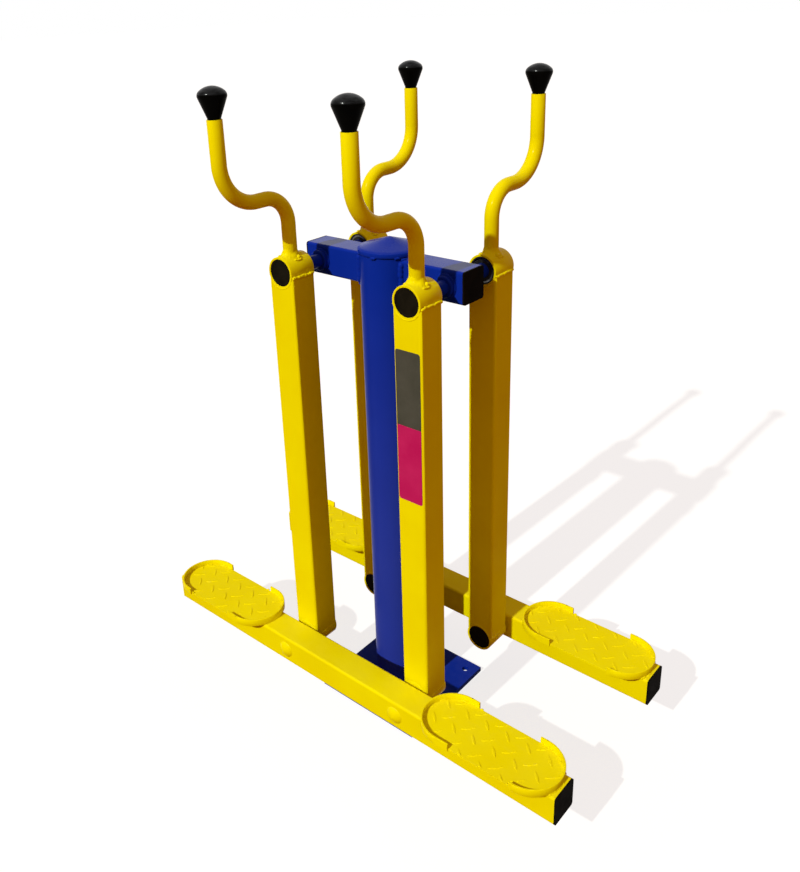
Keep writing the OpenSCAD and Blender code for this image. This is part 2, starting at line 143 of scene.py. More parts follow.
def worn_edge(g, radius, low, high):
    """1 along outer edges, from the angle between the true normal and a rounded one."""
    rounded = g.add("Bevel", {"Radius": radius}, samples=4).outputs["Normal"]
    normal = g.add("NewGeometry").outputs["Normal"]
    dot = g.add("VectorMath", {0: rounded, 1: normal}, operation="DOT_PRODUCT").outputs["Value"]
    return g.span(dot, high, low)


# ---------------------------------------------------------------- materials

def powder_coat(name, base, deep, dusty, bare, specular, wall_specular, wear=1.0,
                tread=None, top_specular=None, foot=None):
    """Powder coat with a slight orange peel, uneven film, dust on tops and rare chips on edges.

    specular holds on tops and slopes, wall_specular on walls and undersides. tread is the height
    of a tread plate's face, whose raised bars are rubbed clean. top_specular is the gloss that
    level tops reach high up. foot is a painted reflection: a lighter, greyer colour that the film
    nears towards the ground, standing in for a reflected glow low down.
    """
    material, g = new_graph(name)
    z = g.axis(g.coord, "Z")
    colour = g.mix(g.span(g.noise(5.5, 3.0, 0.55), 0.32, 0.7), deep, base)
    runs = g.span(g.streaks((46.0, 46.0, 1.6)), 0.52, 0.75, 0.0, 0.22)
    colour = g.mix(runs, colour, deep)
    speckle = g.span(g.noise(240.0, 2.0, 0.6), 0.60, 0.78, 0.0, 0.16)
    colour = g.mix(speckle, colour, deep)
    # painted reflection: the film lighter and greyer from about 0.95 m down towards the ground,
    # standing in for a reflected glow
    if foot is not None:
        low = g.times(g.span(z, 0.95, 0.35, 0.0, 0.6), g.span(z, 0.01, 0.10))
        colour = g.mix(low, colour, foot)
    patches = g.span(g.noise(17.0, 5.0, 0.65), 0.38, 0.72, 0.02, 0.16)
    dust = g.times(settles(g), patches)
    colour = g.mix(dust, colour, dusty)
    if tread is not None:
        raised = g.span(z, tread + 0.0007, tread + 0.0014)
        scuff = g.span(g.streaks((26.0, 110.0, 30.0), (0, 0, 0.5), 4.0, 0.7), 0.54, 0.72)
        scuff2 = g.span(g.streaks((120.0, 24.0, 30.0), (0, 0, 0.3), 4.0, 0.7), 0.57, 0.74)
        marks = g.times(g.most(scuff, scuff2), 0.17)
        colour = g.mix(g.times(marks, settles(g)), colour, dusty)
        colour = g.mix(g.times(raised, 0.15), colour, base)
    edge = worn_edge(g, 0.0011, 0.80, 0.97)
    chips = g.times(edge, g.span(g.noise(95.0, 4.0, 0.7), 0.60, 0.66))
    colour = g.mix(g.times(edge, 0.10), colour, dusty)
    colour = g.mix(g.times(chips, 0.55 * wear), colour, bare)

    rough = g.span(g.noise(9.0, 4.0, 0.6), 0.3, 0.7, 0.14, 0.24)
    rough = g.plus(rough, g.times(dust, 0.9))
    rough = g.plus(rough, g.times(chips, 0.25))
    peel = g.bump(g.noise(420.0, 1.0, 0.4), 0.00010, 0.55)
    sag = g.bump(g.noise(48.0, 2.0, 0.5), 0.00042, 0.5, peel)
    chipped = g.bump(g.math("SUBTRACT", 1.0, chips), 0.00015, 0.6 * wear, sag)
    up = g.up()
    specular = g.span(up, 0.08, 0.32, wall_specular, specular)
    if top_specular is not None:
        tops = g.span(z, 0.20, 0.90, 0.025, top_specular)
        specular = g.span(up, 0.90, 1.0, specular, tops)
    g.principled(Base_Color=colour, Roughness=rough, Specular_IOR_Level=specular, Normal=chipped)
    return material


def moulded_plastic(name, dark, light, grain, depth, rough_low, rough_high, specular,
                    ring=0.0, painted_left=None):
    """Black moulded plastic with a fine grain, flow marks, scratches and dust.

    ring is the scale of the moulding's faint bands. painted_left is where, from the left, stray
    paint stops covering the flange.
    """
    material, g = new_graph(name)
    flow = g.span(g.noise(22.0, 4.0, 0.6, distortion=1.2), 0.35, 0.7)
    colour = g.mix(flow, dark, light)
    scratch = g.streaks((520.0, 30.0, 60.0), (0.3, 0.5, 0.7), 3.0, 0.7)
    scratch2 = g.streaks((34.0, 60.0, 480.0), (0.9, 0.2, 0.4), 3.0, 0.7)
    marks = g.most(g.span(scratch, 0.66, 0.72, 0.0, 0.35), g.span(scratch2, 0.66, 0.72, 0.0, 0.3))
    colour = g.mix(marks, colour, rgb(0.024, 0.022, 0.016))
    dust = g.times(settles(g), g.span(g.noise(120.0, 4.0, 0.7), 0.5, 0.75, 0.0, 0.18))
    colour = g.mix(dust, colour, rgb(0.16, 0.15, 0.12))
    if painted_left is not None:
        x = g.axis(g.coord, "X")
        across = g.axis(g.places["Normal"], "X")
        flange = g.span(g.math("ABSOLUTE", across), 0.80, 0.60)
        patchy = g.span(g.noise(85.0, 3.0, 0.6), 0.22, 0.36, 0.80, 1.0)
        cover = g.times(g.span(x, painted_left + 0.02, painted_left), patchy)
        colour = g.mix(g.times(cover, flange), colour, rgb(0.785, 0.680, 0.0))
    rough = g.span(g.noise(34.0, 4.0, 0.6), 0.3, 0.7, rough_low, rough_high)
    rough = g.plus(rough, g.times(marks, 0.3))
    fine = g.bump(g.noise(grain, 2.0, 0.6), depth, 0.8)
    relief = g.bump(g.noise(60.0, 1.0, 0.5), 0.00030, 0.4, fine)
    if ring:
        values = {"Vector": g.coord, "Scale": ring, "Distortion": 0.4, "Detail": 1.0}
        bands = g.add("TexWave", values, wave_type="BANDS", bands_direction="DIAGONAL")
        relief = g.bump(bands.outputs["Fac"], 0.00010, 0.35, relief)
    g.principled(Base_Color=colour, Roughness=rough, Specular_IOR_Level=specular, Normal=relief)
    return material


def polished_knob(name):
    """Polished black phenolic with faint swirls, finger marks, a few dust specks and a painted
    sheen on the dome.
    """
    material, g = new_graph(name)
    cloud = g.span(g.noise(14.0, 3.0, 0.6, distortion=2.0), 0.4, 0.75)
    colour = g.mix(cloud, rgb(0.0009, 0.0009, 0.0006), rgb(0.0024, 0.0023, 0.0016))
    specks = g.span(g.cells(420.0), 0.16, 0.07)
    specks = g.times(specks, g.span(g.noise(50.0, 2.0, 0.5), 0.52, 0.6))
    specks = g.times(specks, settles(g))
    colour = g.mix(g.times(specks, 0.4), colour, rgb(0.20, 0.19, 0.17))
    # painted reflection: up-facing faces of the dome lighter and bluer in swirls, standing in for
    # a sky sheen; the same mask raises the real gloss there
    swirls = g.span(g.streaks((60.0, 60.0, 260.0), (0.25, 0.1, 0)), 0.40, 0.66, 0.35, 1.0)
    painted_sheen_and_gloss = g.times(g.span(g.up(), 0.16, 0.42), swirls)
    colour = g.mix(painted_sheen_and_gloss, colour, rgb(0.0034, 0.0036, 0.0042))
    smudge = g.span(g.noise(38.0, 4.0, 0.6, distortion=0.8), 0.45, 0.7)
    rough = g.plus(g.span(smudge, 0.0, 1.0, 0.20, 0.26), g.times(specks, 0.4))
    swirl = g.bump(g.streaks((90.0, 90.0, 420.0), detail=2.0, rough=0.5), 0.00006, 0.5)
    peel = g.bump(g.noise(130.0, 1.0, 0.5), 0.00008, 0.5, swirl)
    specular = g.span(painted_sheen_and_gloss, 0.0, 1.0, 0.010, 0.165)
    g.principled(Base_Color=colour, Roughness=rough, Specular_IOR_Level=specular, Normal=peel)
    return material


def bare_steel(name, light, dark, rough_low, rough_high, grain, bright_edge=None):
    """Bare or plated steel: fine turning marks, oil film, stains, and edges rubbed bright."""
    material, g = new_graph(name)
    stain = g.span(g.noise(70.0, 4.0, 0.65, distortion=0.6), 0.42, 0.72)
    colour = g.mix(stain, light, dark)
    oil = g.span(g.noise(160.0, 3.0, 0.6), 0.62, 0.75, 0.0, 0.5)
    colour = g.mix(oil, colour, rgb(0.16, 0.13, 0.09))
    if bright_edge is not None:
        colour = g.mix(worn_edge(g, 0.0007, 0.70, 0.96), colour, bright_edge)
    rough = g.span(g.noise(90.0, 3.0, 0.6), 0.3, 0.7, rough_low, rough_high)
    turned = g.bump(g.streaks(grain, detail=2.0), 0.00003, 0.6)
    g.principled(Base_Color=colour, Metallic=1.0, Roughness=rough, Normal=turned)
    return material


def rubber(name):
    """Black rubber seals: dusty, and the low ones caught in the paint's overspray."""
    material, g = new_graph(name)
    cloud = g.span(g.noise(80.0, 4.0, 0.6), 0.35, 0.7)
    colour = g.mix(cloud, rgb(0.008, 0.008, 0.008), rgb(0.022, 0.020, 0.018))
    dust = g.span(g.noise(300.0, 3.0, 0.7), 0.58, 0.75, 0.0, 0.25)
    colour = g.mix(dust, colour, rgb(0.09, 0.085, 0.075))
    patchy = g.span(g.noise(60.0, 3.0, 0.6), 0.30, 0.50, 0.55, 0.95)
    sprayed = g.times(g.span(g.axis(g.coord, "Z"), 0.40, 0.30), patchy)
    colour = g.mix(sprayed, colour, rgb(0.62, 0.46, 0.0))
    rough = g.span(g.noise(120.0, 3.0, 0.6), 0.3, 0.7, 0.42, 0.6)
    pores = g.bump(g.noise(700.0, 2.0, 0.6), 0.00006, 0.6)
    g.principled(Base_Color=colour, Roughness=rough, Specular_IOR_Level=0.08, Normal=pores)
    return material


def vinyl(name, base, light):
    """Printed film with a slight laminate sheen, fine bubbles and rubbed spots."""
    material, g = new_graph(name)
    colour = g.mix(g.span(g.noise(16.0, 4.0, 0.6), 0.35, 0.72), base, light)
    rubbed = g.streaks((180.0, 60.0, 26.0), (0, 0.6, 0), 4.0, 0.7)
    colour = g.mix(g.span(rubbed, 0.62, 0.74, 0.0, 0.28), colour, light)
    rough = g.span(g.noise(30.0, 4.0, 0.6), 0.3, 0.7, 0.30, 0.46)
    bubbles = g.times(g.span(g.cells(160.0), 0.25, 0.05), g.span(g.noise(24.0), 0.60, 0.68))
    raised = g.bump(bubbles, 0.00022, 0.6)
    lie = g.bump(g.noise(34.0), 0.00030, 0.4, raised)
    g.principled(Base_Color=colour, Roughness=rough, Specular_IOR_Level=0.10, Normal=lie)
    return material


TREAD_PLATE = 0.004      # from a tread's underside to its face
BARE_METAL = rgb(0.42, 0.36, 0.20)
tread_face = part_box("near_left_tread")[0].z + TREAD_PLATE

materials = {
    "frame_paint": powder_coat(
        "frame_paint_look", base=rgb(0.0042, 0.0236, 0.312), deep=rgb(0.0024, 0.0180, 0.264),
        dusty=rgb(0.08, 0.10, 0.27), bare=rgb(0.22, 0.22, 0.24), specular=0.016,
        wall_specular=0.008, wear=0.7, top_specular=0.125, foot=rgb(0.0290, 0.0460, 0.324)),
    "arm_paint": powder_coat(
        "arm_paint_look", base=rgb(0.810, 0.715, 0.0), deep=rgb(0.755, 0.632, 0.0),
        dusty=rgb(0.76, 0.70, 0.05), bare=BARE_METAL, specular=0.016, wall_specular=0.003),
    "tread_paint": powder_coat(
        "tread_paint_look", base=rgb(0.830, 0.735, 0.0), deep=rgb(0.785, 0.660, 0.0),
        dusty=rgb(0.74, 0.66, 0.030), bare=BARE_METAL, specular=0.014, wall_specular=0.003,
        tread=tread_face),
    "tube_cap_plastic": moulded_plastic(
        "tube_cap_look", dark=rgb(0.0040, 0.0037, 0.0026), light=rgb(0.0080, 0.0070, 0.0050),
        grain=900.0, depth=0.00006, rough_low=0.42, rough_high=0.58, specular=0.0022,
        painted_left=-0.42),
    "hub_plug_plastic": moulded_plastic(
        "hub_plug_look", dark=rgb(0.0055, 0.0048, 0.0028), light=rgb(0.0115, 0.0095, 0.0055),
        grain=650.0, depth=0.00010, rough_low=0.40, rough_high=0.56, specular=0.0050,
        ring=46.0),
    "knob_plastic": polished_knob("knob_look"),
    "bearing_steel": bare_steel(
        "bearing_steel_look", light=rgb(0.120, 0.120, 0.118), dark=rgb(0.040, 0.037, 0.030),
        rough_low=0.22, rough_high=0.40, grain=(420.0, 60.0, 420.0),
        bright_edge=rgb(0.86, 0.86, 0.84)),
    "seal_rubber": rubber("seal_rubber_look"),
    "zinc_steel": bare_steel(
        "zinc_steel_look", light=rgb(0.66, 0.68, 0.66), dark=rgb(0.50, 0.47, 0.36),
        rough_low=0.28, rough_high=0.46, grain=(260.0, 40.0, 260.0)),
}
decal_grey = vinyl("decal_grey_look", rgb(0.040, 0.040, 0.026), rgb(0.062, 0.060, 0.044))
decal_magenta = vinyl("decal_magenta_look", rgb(0.435, 0.003, 0.082), rgb(0.50, 0.012, 0.105))


# ---------------------------------------------------------------- objects

def new_object(name, data):
    obj = bpy.data.objects.new(name, data)
    bpy.context.scene.collection.objects.link(obj)
    return obj


def new_mesh_object(name, verts, faces, material):
    mesh = bpy.data.meshes.new(name)
    mesh.from_pydata(verts, [], faces)
    mesh.update()
    obj = new_object(name, mesh)
    mesh.materials.append(material)
    return obj


def join(obj, distance):
    obj.modifiers.new("join", "WELD").merge_threshold = distance


def soften(obj, width, segments):
    edge = obj.modifiers.new("edge", "BEVEL")
    edge.width, edge.segments, edge.limit_method = width, segments, "ANGLE"
    return edge


# ---------------------------------------------------------------- CAD nodes

# width of the softened edges, by how a node's name ends
EDGE = {
    "column_cap": 0.0006, "beam_end_caps": 0.0009, "bar_end_caps": 0.0009, "upper_hub": 0.0006,
    "lower_hub": 0.0006, "rims": 0.0007, "tread": 0.0004, "shaft_collars": 0.0006,
    "hub_plugs": 0.0004, "bearings": 0.0004, "pivot_pins": 0.0005, "handlebar": 0.0005,
    "foot_bar": 0.0004, "arm_tube": 0.0004,
}
SHARP = math.radians(38)

for name, obj in nodes.items():
    for material_slot in obj.material_slots:
        material_slot.material = materials[slot_of[name]]
    width = next((w for ending, w in EDGE.items() if name.endswith(ending)), None)
    if width is not None:
        join(obj, 0.00002)
        edge = soften(obj, width, 2)
        edge.angle_limit, edge.harden_normals = SHARP, True


# ---------------------------------------------------------------- weld beads

BEAD_STEP = 0.0011       # between the rings of a bead
BEAD_SIDES = 10
LUMP_REACH = 0.85        # half a lump's length, in pitches
END_LENGTH = 1.2         # of a bead's rounded end, in radii
ROUND = 72               # sides of a full circle


def even_spots(path, closed):
    """Even points along path, each with its distance from the start, and the whole length."""
    points = [Vector(p) for p in path]
    if closed:
        points.append(points[0].copy())
    lengths = [0.0]
    for a, b in zip(points, points[1:]):
        lengths.append(lengths[-1] + (b - a).length)
    total = lengths[-1]
    count = max(4, int(total / BEAD_STEP))
    spots, index = [], 0
    for k in range(count + 1):
        s = total * k / count
        while index < len(lengths) - 2 and lengths[index + 1] < s:
            index += 1
        gap = lengths[index + 1] - lengths[index] or 1.0
        part = (s - lengths[index]) / gap
        spots.append((s, points[index].lerp(points[index + 1], part)))
    return spots, total


def swell_at(s, lumps, reach):
    """How far the highest lump at s swells, and that lump's shift across the bead."""
    best = (0.0, 0.0, 0.0)
    for centre, size, dx, dy in lumps:
        t = (s - centre) / reach
        if abs(t) < 1:
            swell = size * math.sqrt(1 - t * t)
            if swell > best[0]:
                best = (swell, dx, dy)
    return best


class Beads:
    """The weld beads of one body, gathered in one mesh."""

    def __init__(self, seed):
        self.verts, self.faces, self.rng = [], [], random.Random(seed)

    def skin(self, first, rows, columns, wrap=True):
        """Faces between rows of vertices, each row a closed ring. wrap joins last to first."""
        for row in range(rows if wrap else rows - 1):
            here, there = first + row * columns, first + (row + 1) % rows * columns
            for i in range(columns):
                j = (i + 1) % columns
                self.faces.append((here + i, here + j, there + j, there + i))

    def lumps(self, pitch, total):
        """Lumps along a bead: place, size and shift across it."""
        uniform = self.rng.uniform
        lumps, s = [], -pitch
        while s < total + pitch:
            lumps.append((s, uniform(0.75, 1.15), uniform(-1, 1), uniform(-1, 1)))
            s += pitch * uniform(0.7, 1.3)
        return lumps

    def run(self, path, radius, pitch=0.0065, lump=0.30, wander=0.10, closed=False):
        """A weld bead along path. lump is how far its lumps rise, wander how far they stray."""
        spots, total = even_spots(path, closed)
        lumps = self.lumps(pitch, total)
        last, normal, rings = len(spots) - 1, None, []
        for k, (s, point) in enumerate(spots):
            ahead = spots[min(k + 1, last)][1] - spots[max(k - 1, 0)][1]
            if closed and k in (0, last):
                ahead = spots[1][1] - spots[last - 1][1]
            along = ahead.normalized()
            if normal is None:
                normal = along.orthogonal().normalized()
            normal = (normal - along * normal.dot(along)).normalized()
            side = along.cross(normal)
            swell, dx, dy = swell_at(s, lumps, pitch * LUMP_REACH)
            r = radius * (1 - lump + lump * swell * 1.3)
            if closed:
                fade = min(1.0, s / (2 * pitch), (total - s) / (2 * pitch))
                r = radius * (1 - fade) + r * fade
                dx, dy = dx * fade, dy * fade
            else:
                end = min(s, total - s) / (radius * END_LENGTH)
                if end < 1:
                    r *= math.sqrt(max(0.0, 1 - (1 - end) ** 2)) * 0.98 + 0.02
            middle = point + (normal * dx + side * dy) * radius * wander
            rings.append([middle + (normal * math.cos(a) + side * math.sin(a)) * r
                          for a in (math.tau * i / BEAD_SIDES for i in range(BEAD_SIDES))])
        if closed:
            rings.pop()
        first = len(self.verts)
        for ring in rings:
            self.verts.extend(ring)
        self.skin(first, len(rings), BEAD_SIDES, wrap=closed)
        if not closed:
            end = first + (len(rings) - 1) * BEAD_SIDES
            self.faces.append(tuple(first + i for i in reversed(range(BEAD_SIDES))))
            self.faces.append(tuple(end + i for i in range(BEAD_SIDES)))

    def fillet(self, centre, tube_r, hub_r, width, height, flip):
        """A concave fillet from a tube standing at centre down to the hub that it crosses."""
        around, across, inside, sunk = 96, 9, -0.0020, -0.0016
        phase = [self.rng.uniform(0, math.tau) for _ in range(4)]
        first = len(self.verts)
        for i in range(around):
            a = math.tau * i / around
            swell = 1 + 0.16 * math.sin(2 * a + phase[0]) + 0.10 * math.sin(5 * a + phase[1])
            ripple = 1 + 0.07 * math.sin(19 * a + phase[2]) + 0.05 * math.sin(31 * a + phase[3])
            w, h = width * swell * ripple, height * swell
            profile = [(inside, h * 0.9)]
            for k in range(across):
                t = math.pi / 2 * k / (across - 1)
                bulge = 0.0006 * math.sin(3 * t + 3 * a) * math.sin(2 * t)
                profile.append((w * (1 - math.cos(t)) + bulge, h * (1 - math.sin(t)) + bulge))
            profile += [(w * 0.98, sunk), (inside, sunk)]
            for out, rise in profile:
                x, y = (tube_r + out) * math.cos(a), (tube_r + out) * (math.sin(a) * flip)
                hub_z = math.sqrt(max(0.0, hub_r * hub_r - x * x))
                self.verts.append(Vector((centre.x + x, centre.y + y, centre.z + hub_z + rise)))
        self.skin(first, around, across + 3)

    def washer(self, cx, cz, y, depth, inner, outer):
        """A thin pressed ring round the Y direction, its rims softly rounded."""
        first, soft, shoulder = len(self.verts), 0.0003, depth * 0.3
        profile = [(inner + soft, y), (outer - soft, y), (outer, y + shoulder),
                   (outer, y + depth), (inner, y + depth), (inner, y + shoulder)]
        for i in range(ROUND):
            a = math.tau * i / ROUND
            self.verts.extend(Vector((cx + r * math.cos(a), v, cz + r * math.sin(a)))
                              for r, v in profile)
        self.skin(first, ROUND, len(profile))

    def blob(self, centre, radius, stretch=(1, 1, 1)):
        """A drop of spatter or a tack, uneven like the beads."""
        first, rows, columns = len(self.verts), 7, 12
        for i in range(rows + 1):
            for j in range(columns):
                a, b = math.pi * i / rows, math.tau * j / columns
                r = radius * (1 + self.rng.uniform(-0.05, 0.05))
                out = Vector((math.sin(a) * math.cos(b) * stretch[0],
                              math.sin(a) * math.sin(b) * stretch[1], math.cos(a) * stretch[2]))
                self.verts.append(Vector(centre) + out * r)
        for i in range(rows):
            for j in range(columns):
                a, b = first + i * columns + j, first + i * columns + (j + 1) % columns
                self.faces.append((a, a + columns, b + columns, b))

    def make(self, name, body, slot):
        obj = new_mesh_object(name, [tuple(v) for v in self.verts], self.faces, materials[slot])
        shell = bmesh.new()
        shell.from_mesh(obj.data)
        bmesh.ops.recalc_face_normals(shell, faces=shell.faces)
        shell.to_mesh(obj.data)
        shell.free()
        obj.data.update()
        obj.data.shade_smooth()
        join(obj, 0.00001)
        smooth = obj.modifiers.new("smooth", "SUBSURF")
        smooth.levels = smooth.render_levels = 1
        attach(obj, body)


def circle_y(cx, y, cz, r):
    """A circle round the Y direction, its first point not repeated."""
    angles = [math.radians(360.0 * k / ROUND) for k in range(ROUND)]
    return [(cx + r * math.cos(a), y, cz + r * math.sin(a)) for a in angles]


HANDLE_R = 0.0135
# the second pass round a handlebar's foot: distance out, radius, first and last angle, lump
HANDLE_PASSES = ((0.0078, 0.0021, 95, 260, 0.30), (0.0030, 0.0054, -2, 36, 0.12),
                 (0.0076, 0.0022, -26, 24, 0.30))
SIDE_SPOTS = (0.03, 0.10, 0.2, 0.35, 0.5, 0.65, 0.8, 0.92)   # along half a hub's side weld


def handle_foot(beads, centre, hub_r, flip):
    """A wide smooth fillet, then a short second pass that ends in a crater."""
    beads.fillet(centre, HANDLE_R, hub_r, 0.0085, 0.0115, flip)
    for offset, bead_r, start, end, lump in HANDLE_PASSES:
        around = []
        for k in range(37):
            a = math.radians(start + (end - start) * k / 36)
            x, y = (HANDLE_R + offset) * math.cos(a), flip * (HANDLE_R + offset) * math.sin(a)
            z = math.sqrt(hub_r * hub_r - x * x) + 0.0002
            around.append((centre.x + x, centre.y + y, centre.z + z))
        beads.run(around, bead_r, pitch=0.0065, lump=lump, wander=0.16)


def arm_welds(side, end):
    """Where an arm's tube meets its hubs, and the handlebar its hub."""
    name = f"{side}_{end}"
    outward = -1 if side == "near" else 1
    beads = Beads(name)
    # hand is the side of the hub that the tube comes from; the lower beads are thin and sunk
    for where, hand, size, out in (("upper_hub", -1, 1.0, 0.0002),
                                   ("lower_hub", 1, 0.28, -0.0001)):
        low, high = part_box(f"{name}_{where}")
        centre, r, half = (low + high) / 2, (high.z - low.z) / 2, (high.y - low.y) / 2
        for x_hand, bead_r in ((-1, 0.0016), (1, 0.0027)):
            path = []
            for y_hand in (-1, 1):
                face = centre.y + y_hand * half
                line = [(centre.x + x_hand * (r + out), face * (1 - t) + centre.y * t,
                         centre.z + hand * (0.0070 + 0.0004 * math.sin(9 * t + x_hand)))
                        for t in SIDE_SPOTS]
                path += line if y_hand < 0 else line[::-1]
            beads.run(path, bead_r * size, pitch=0.0062, lump=0.72, wander=0.34)
        for y_hand in (-1, 1):
            y = centre.y + y_hand * half - y_hand * 0.0003
            arc = [(centre.x + (r + 0.0004) * math.cos(math.radians(a)), y,
                    centre.z + hand * (r + 0.0004) * math.sin(math.radians(a)))
                   for a in range(30, 151, 3)]
            beads.run(arc, 0.0011, pitch=0.0060, lump=0.25, wander=0.10)
        for _ in range(7):
            x_hand = beads.rng.choice((-1, 1))
            y = centre.y + beads.rng.uniform(-0.9, 0.9) * half
            z = centre.z + hand * beads.rng.uniform(0.012, 0.030)
            beads.blob((centre.x + x_hand * (r + 0.0001), y, z),
                       beads.rng.uniform(0.0004, 0.0009))
        if where == "lower_hub":
            mouth = low.y if side == "near" else high.y
            beads.washer(centre.x, centre.z, mouth + outward * 0.0006, -outward * 0.0012,
                         0.0188, r - 0.0012)
        else:
            handle_foot(beads, centre, r, -outward)
    beads.make(f"{name}_arm_welds", f"{name}_arm", "arm_paint")


PIVOT_X = 0.15
STITCHES = (-0.118, -0.022, 0.076)            # where a tread's stitches to the bar start
STITCH = 0.042
# angles of the tacks under a tread's rims, at its inner and its outer end
RIM_TACKS = ((-1, (-68, -18, 34, 74)), (1, (-58, -8, 40, 72)))
# beads round a tread's outer end: distance out, height over the bar, radius
END_BEADS = ((0.0008, 0.0010, 0.0025), (0.0030, 0.0000, 0.0017))
# last tacks of a tread's straight sides, as a part of their half length
LAST_TACKS = ((-1, 0.70), (1, 0.88))


def bar_welds(side, inward):
    """Where a foot bar meets its treads and their rims, and round its pivot pins."""
    beads = Beads(side + "_bar")
    low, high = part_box(f"{side}_foot_bar")
    middle_y, top = (low.y + high.y) / 2, high.z
    for end, x_hand in (("left", -1), ("right", 1)):
        t_low, t_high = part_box(f"{side}_{end}_tread")
        cx = (t_low.x + t_high.x) / 2
        radius = (t_high.y - t_low.y) / 2
        straight = (t_high.x - t_low.x) / 2 - radius
        for y in (low.y - 0.0012, high.y + 0.0012):
            for start in STITCHES:
                path = [(cx + start + STITCH * k / 12, y, top - 0.0014) for k in range(13)]
                beads.run(path, 0.0031, pitch=0.0060, lump=0.32, wander=0.14)
        for centre_hand, angles in RIM_TACKS:
            for angle in angles:
                path = []
                for k in range(-4, 5):
                    a = math.radians(angle) + k * 0.028
                    out = straight + (radius - 0.0002) * math.cos(a)
                    path.append((cx + x_hand * centre_hand * out,
                                 middle_y + (radius - 0.0002) * math.sin(a), t_low.z + 0.0040))
                beads.run(path, 0.0022, pitch=0.0055, lump=0.35, wander=0.20)
        for rim, lift, size in END_BEADS:
            path = []
            for k in range(31):
                a = math.radians(-31 + 62 * k / 30)
                path.append((cx + x_hand * (straight + (radius + rim) * math.cos(a)),
                             middle_y + (radius + rim) * math.sin(a), top + lift))
            beads.run(path, size, pitch=0.0050, lump=0.72, wander=0.55)
        for centre_hand, part in LAST_TACKS:
            for y_hand in (-1, 1):
                beads.blob((cx + x_hand * centre_hand * straight * part,
                            middle_y + y_hand * (radius - 0.0006), t_low.z + 0.0050),
                           0.0024, (1.5, 0.9, 0.8))
    y = middle_y + inward * (high.y - low.y) / 2 + inward * 0.0004
    for x in (-PIVOT_X, PIVOT_X):
        beads.run(circle_y(x, y, (low.z + high.z) / 2, 0.0148), 0.0018, pitch=0.0050,
                  lump=0.25, closed=True)
    beads.make(f"{side}_bar_welds", f"{side}_footbar", "arm_paint")


def frame_welds():
    """Where the column meets the beams, the base plate and its cap, and round the collars."""
    beads = Beads("frame")
    low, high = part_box("column")
    r = (high.x - low.x) / 2
    beam_low, beam_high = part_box("beam_right")
    half, z0, z1 = beam_high.y, beam_low.z, beam_high.z
    for x_hand in (-1, 1):
        for y_hand in (-1, 1):
            x, y = math.sqrt(r * r - half * half) + 0.0016, half + 0.0004
            path = [(x_hand * x, y_hand * y, z0 + 0.001 + (z1 - z0 - 0.004) * k / 24)
                    for k in range(25)]
            beads.run(path, 0.0058, pitch=0.0078, lump=0.22, wander=0.10)
        for z, bead_r in ((z1 + 0.0002, 0.0030), (z0 - 0.0006, 0.0042)):
            path = []
            for k in range(25):
                y = -half + 2 * half * k / 24
                path.append((x_hand * (math.sqrt(r * r - y * y) + 0.0012), y, z))
            beads.run(path, bead_r, pitch=0.0065, lump=0.28, wander=0.12)
    out = r + 0.0010
    angles = [math.radians(a) for a in range(0, 360, 3)]
    foot = [(out * math.cos(a), out * math.sin(a), low.z + 0.0008) for a in angles]
    beads.run(foot, 0.0044, pitch=0.0072, lump=0.30, wander=0.14, closed=True)
    under_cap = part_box("column_cap")[0].z - 0.0003
    for k in range(8):
        middle = math.radians(8 + 45 * k)
        angles = [middle + t * 0.022 for t in range(-5, 6)]
        path = [(out * math.sin(a), -out * math.cos(a), under_cap) for a in angles]
        beads.run(path, 0.0030, pitch=0.0058, lump=0.34, wander=0.20)
    for cx in (-PIVOT_X, PIVOT_X):
        for y_hand in (-1, 1):
            collar = circle_y(cx, y_hand * (half + 0.0006), (z0 + z1) / 2, 0.0204)
            beads.run(collar, 0.0024, pitch=0.0062, lump=0.28, wander=0.12, closed=True)
    beads.make("frame_welds", "frame", "frame_paint")


for side in ("near", "far"):
    for end in ("left", "right"):
        arm_welds(side, end)
bar_welds("near", 1)
bar_welds("far", -1)
frame_welds()


# ---------------------------------------------------------------- decal

DECAL_X = (0.1238, 0.1770)
DECAL_Z = (0.5795, 0.7290, 0.7292, 0.8720)    # of the magenta part, then of the grey one
DECAL_CORNER = 0.0050
DECAL_PROUD = 0.0003
DECAL_THICK = 0.0004


def decal(name, z0, z1, material, rounded):
    """A thin film on the near right arm's face, its top or its bottom corners rounded."""
    x0, x1 = DECAL_X
    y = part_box("near_right_arm_tube")[0].y - DECAL_PROUD
    outline = []
    for cx, cz, x_in, z_in, start in ((x1, z1, -1, -1, 0), (x0, z1, 1, -1, 90),
                                      (x0, z0, 1, 1, 180), (x1, z0, -1, 1, 270)):
        if (rounded == "top") != (z_in < 0):
            outline.append((cx, cz))
            continue
        for k in range(9):
            a = math.radians(start + 90 * k / 8)
            outline.append((cx + x_in * DECAL_CORNER + DECAL_CORNER * math.cos(a),
                            cz + z_in * DECAL_CORNER + DECAL_CORNER * math.sin(a)))
    n = len(outline)
    verts = [(x, y, z) for x, z in outline] + [(x, y + DECAL_THICK, z) for x, z in outline]
    faces = [tuple(range(n))[::-1], tuple(range(n, 2 * n))]
    faces += [(i, (i + 1) % n, n + (i + 1) % n, n + i) for i in range(n)]
    obj = new_mesh_object(name, verts, faces, material)
    soften(obj, 0.00008, 1)
    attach(obj, "near_right_arm")


decal("near_right_decal_top", DECAL_Z[2], DECAL_Z[3], decal_grey, "top")
decal("near_right_decal_bottom", DECAL_Z[0], DECAL_Z[1], decal_magenta, "bottom")


# ---------------------------------------------------------------- floor and light

